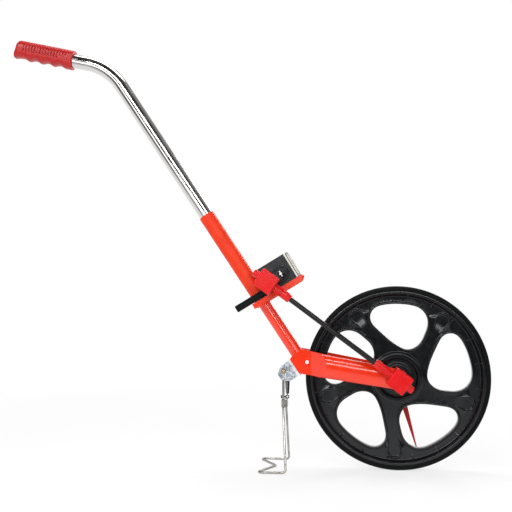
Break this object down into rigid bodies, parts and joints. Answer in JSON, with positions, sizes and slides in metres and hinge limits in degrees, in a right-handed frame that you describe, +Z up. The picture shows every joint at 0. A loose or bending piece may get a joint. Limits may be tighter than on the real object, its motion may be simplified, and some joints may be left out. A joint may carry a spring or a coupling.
{
  "type": "measuring wheel",
  "caption": "Walk-behind distance measuring wheel with a spoked wheel, shaft-driven counter, telescopic bent handle, finger grip, zero pointer and fold-away kickstand.",
  "frame": {"origin": "middle of the bounding box in plan, on the ground", "axes": "+Z up, +X towards the wheel end (the way it is pushed), +Y towards the pointer side; the drive shaft is on the -Y side"},
  "size_m": [0.8564, 0.1316, 0.7727],
  "materials": {
    "orange_paint": "gloss orange-red paint",
    "sleeve_paint": "satin orange-red coat",
    "red_plastic": "moulded red plastic",
    "grip_red": "soft red vinyl",
    "black_plastic": "glossy black moulding",
    "black_satin": "satin black moulding",
    "tyre_black": "black tyre rubber",
    "chrome": "bright chrome plate",
    "zinc": "bluish zinc plate",
    "steel": "bright steel",
    "white_metal": "bright plated steel",
    "cream_plastic": "white number wheels",
    "nylon": "natural nylon",
    "clear_cover": "clear moulded cover"
  },
  "bodies": {
    "frame": {"lower_tube": "orange_paint", "tube_sleeve": "sleeve_paint", "sleeve_bush": "black_satin", "sleeve_spacer": "black_satin", "fork_arm_near": "orange_paint", "fork_arm_far": "orange_paint", "fork_yoke": "orange_paint", "fork_rivets": "zinc", "axle_bush_near": "nylon", "axle_bush_far": "nylon", "pointer": "red_plastic", "pointer_nut": "steel", "counter_bracket": "orange_paint", "counter_housing": "black_satin", "counter_side_plate": "black_satin", "side_plate_screws": "steel", "counter_mount_screws": "steel", "counter_window": "clear_cover", "number_shaft": "steel", "idler_pin": "steel", "input_bush": "nylon", "lever_pin": "steel", "lower_gearbox": "red_plastic", "lower_gearbox_lid": "red_plastic", "upper_gearbox": "red_plastic", "upper_gearbox_lid": "red_plastic", "shaft_guard": "black_plastic", "kickstand_bracket": "zinc", "bracket_screws": "zinc", "kickstand_pivot": "zinc", "spring_pin": "zinc"},
    "wheel": {"wheel_disc": "black_plastic", "tyre": "tyre_black", "axle": "steel", "hub_spacers": "nylon", "axle_nut": "steel", "axle_gear": "nylon"},
    "drive_shaft": {"drive_rod": "steel", "lower_pinion": "nylon", "upper_pinion": "nylon"},
    "counter_input": {"input_shaft": "steel", "input_mitre": "nylon", "input_gear": "nylon"},
    "idler": {"idler_gear": "nylon"},
    "digit_1": {"number_wheel_1": "cream_plastic", "drum_gear": "nylon"},
    "digit_2": {"number_wheel_2": "cream_plastic"},
    "digit_3": {"number_wheel_3": "cream_plastic"},
    "digit_4": {"number_wheel_4": "cream_plastic"},
    "digit_5": {"number_wheel_5": "cream_plastic"},
    "knob": {"side_knob": "black_plastic"},
    "lever": {"reset_lever": "black_satin"},
    "kickstand": {"kickstand_strap": "zinc", "kickstand_legs": "white_metal", "leg_crimp": "zinc", "spring_hook": "zinc", "kickstand_spring": "steel"},
    "handle": {"handle_tube": "chrome", "handle_guide": "black_satin", "grip": "grip_red"}
  },
  "joints": [
    {"name": "wheel_spin", "type": "hinge", "parent": "frame", "child": "wheel", "pos_m": [0.27055, 0.0052, 0.15915], "axis": [0, 1, 0], "continuous": true},
    {"name": "drive_shaft_spin", "type": "hinge", "parent": "frame", "child": "drive_shaft", "pos_m": [0.27055, -0.0493, 0.15915], "axis": [-0.8016, 0, 0.5979], "continuous": true},
    {"name": "input_spin", "type": "hinge", "parent": "frame", "child": "counter_input", "pos_m": [0.04653, 0.0052, 0.32623], "axis": [0, 1, 0], "continuous": true},
    {"name": "idler_spin", "type": "hinge", "parent": "frame", "child": "idler", "pos_m": [0.05807, 0.0052, 0.33325], "axis": [0, 1, 0], "continuous": true},
    {"name": "digit_1_spin", "type": "hinge", "parent": "frame", "child": "digit_1", "pos_m": [0.0696, 0.0052, 0.34026], "axis": [0, 1, 0], "continuous": true},
    {"name": "digit_2_spin", "type": "hinge", "parent": "frame", "child": "digit_2", "pos_m": [0.0696, 0.0052, 0.34026], "axis": [0, 1, 0], "continuous": true},
    {"name": "digit_3_spin", "type": "hinge", "parent": "frame", "child": "digit_3", "pos_m": [0.0696, 0.0052, 0.34026], "axis": [0, 1, 0], "continuous": true},
    {"name": "digit_4_spin", "type": "hinge", "parent": "frame", "child": "digit_4", "pos_m": [0.0696, 0.0052, 0.34026], "axis": [0, 1, 0], "continuous": true},
    {"name": "digit_5_spin", "type": "hinge", "parent": "frame", "child": "digit_5", "pos_m": [0.0696, 0.0052, 0.34026], "axis": [0, 1, 0], "continuous": true},
    {"name": "side_knob_turn", "type": "hinge", "parent": "frame", "child": "knob", "pos_m": [0.0696, 0.0052, 0.34026], "axis": [0, 1, 0], "continuous": true},
    {"name": "reset_lever_lift", "type": "hinge", "parent": "frame", "child": "lever", "pos_m": [0.05083, 0.0052, 0.3134], "axis": [0, 1, 0], "range_deg": [0, 12], "stiffness_Nm_per_rad": 0.05, "springref_deg": -11.46},
    {"name": "kickstand_fold", "type": "hinge", "parent": "frame", "child": "kickstand", "pos_m": [0.07285, 0.0052, 0.1687], "axis": [0, 1, 0], "range_deg": [0, 140], "deforming": ["kickstand_spring"]},
    {"name": "handle_slide", "type": "slide", "parent": "frame", "child": "handle", "axis": [0.5519, 0, -0.8339], "range_m": [0, 0.1]}
  ],
  "couplings": [
    {"joint": "drive_shaft_spin", "follows": "wheel_spin", "ratio": -1},
    {"joint": "input_spin", "follows": "wheel_spin", "ratio": -1},
    {"joint": "idler_spin", "follows": "wheel_spin", "ratio": 1.4545},
    {"joint": "digit_1_spin", "follows": "wheel_spin", "ratio": -1},
    {"joint": "digit_2_spin", "follows": "wheel_spin", "ratio": -0.1},
    {"joint": "digit_3_spin", "follows": "wheel_spin", "ratio": -0.01},
    {"joint": "digit_4_spin", "follows": "wheel_spin", "ratio": -0.001},
    {"joint": "digit_5_spin", "follows": "wheel_spin", "ratio": -0.0001}
  ]
}
